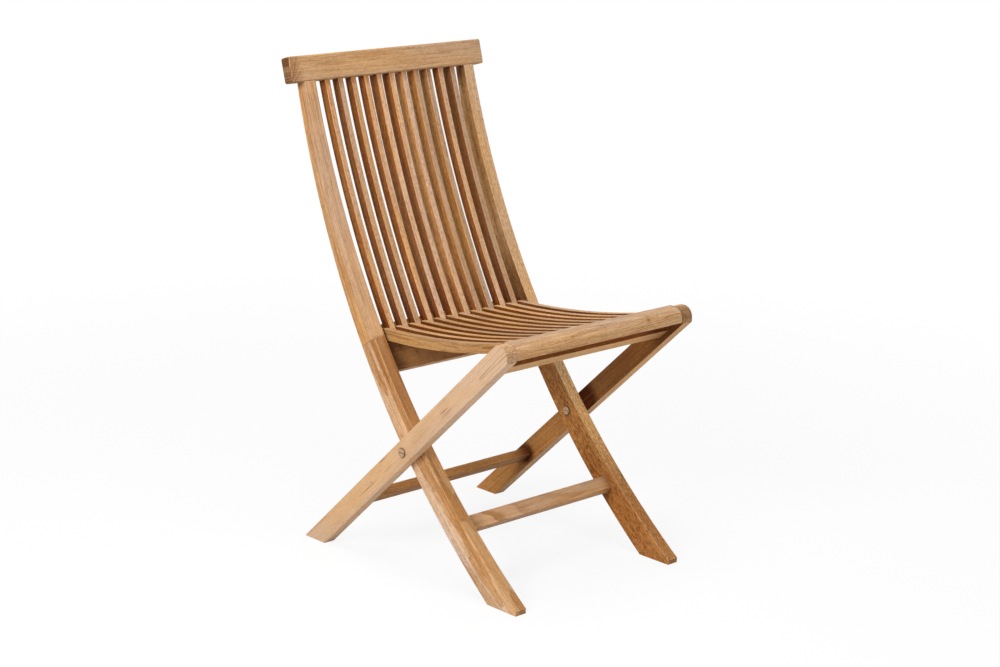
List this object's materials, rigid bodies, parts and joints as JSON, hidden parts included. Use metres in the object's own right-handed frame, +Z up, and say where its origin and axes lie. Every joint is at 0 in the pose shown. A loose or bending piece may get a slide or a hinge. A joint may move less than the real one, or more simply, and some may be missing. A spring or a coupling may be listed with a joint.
{
  "type": "folding chair",
  "caption": "Armless folding garden chair of unfinished teak with curved slatted back, dished slatted seat, crossed legs and brass pivots.",
  "frame": {"origin": "on the floor, under the middle of the chair's overall box", "axes": "+Z up, -Y the way the sitter faces, +X to the sitter's left"},
  "size_m": [0.467, 0.613, 0.8894],
  "materials": {
    "teak": "bare planed teak",
    "brass": "dull brass",
    "steel": "plain steel rod"
  },
  "bodies": {
    "back_frame": {"back_post_left": "teak", "back_post_right": "teak", "back_slat_01": "teak", "back_slat_02": "teak", "back_slat_03": "teak", "back_slat_04": "teak", "back_slat_05": "teak", "back_slat_06": "teak", "back_slat_07": "teak", "back_slat_08": "teak", "back_slat_09": "teak", "back_slat_10": "teak", "back_slat_11": "teak", "front_leg_left": "teak", "front_leg_plug_left": "teak", "front_leg_plug_right": "teak", "front_leg_right": "teak", "front_stretcher": "teak", "pivot_barrel_left": "brass", "pivot_barrel_right": "brass", "rear_seat_rail": "teak", "top_rail": "teak"},
    "leg_frame": {"front_seat_rail": "teak", "pivot_bolt_left": "brass", "pivot_bolt_right": "brass", "pivot_washer_left": "brass", "pivot_washer_right": "brass", "rear_leg_left": "teak", "rear_leg_plug_left": "teak", "rear_leg_plug_right": "teak", "rear_leg_right": "teak", "rear_stretcher": "teak", "seat_support_rail": "teak"},
    "seat": {"batten_screws": "brass", "hinge_rod": "steel", "seat_batten": "teak", "seat_slat_01": "teak", "seat_slat_02": "teak", "seat_slat_03": "teak", "seat_slat_04": "teak", "seat_slat_05": "teak", "seat_slat_06": "teak", "seat_slat_07": "teak", "seat_slat_08": "teak", "seat_slat_09": "teak", "seat_slat_10": "teak", "seat_slat_11": "teak", "seat_slat_12": "teak"}
  },
  "joints": [
    {"name": "leg_fold", "type": "hinge", "parent": "back_frame", "child": "leg_frame", "pos_m": [0, -0.03451, 0.2296], "axis": [-1, 0, 0], "range_deg": [0, 66]},
    {"name": "seat_lift", "type": "hinge", "parent": "back_frame", "child": "seat", "pos_m": [0, 0.08675, 0.41156], "axis": [-1, 0, 0], "range_deg": [0, 99]}
  ],
  "couplings": [
    {"joint": "seat_lift", "follows": "leg_fold", "ratio": 1.5}
  ]
}
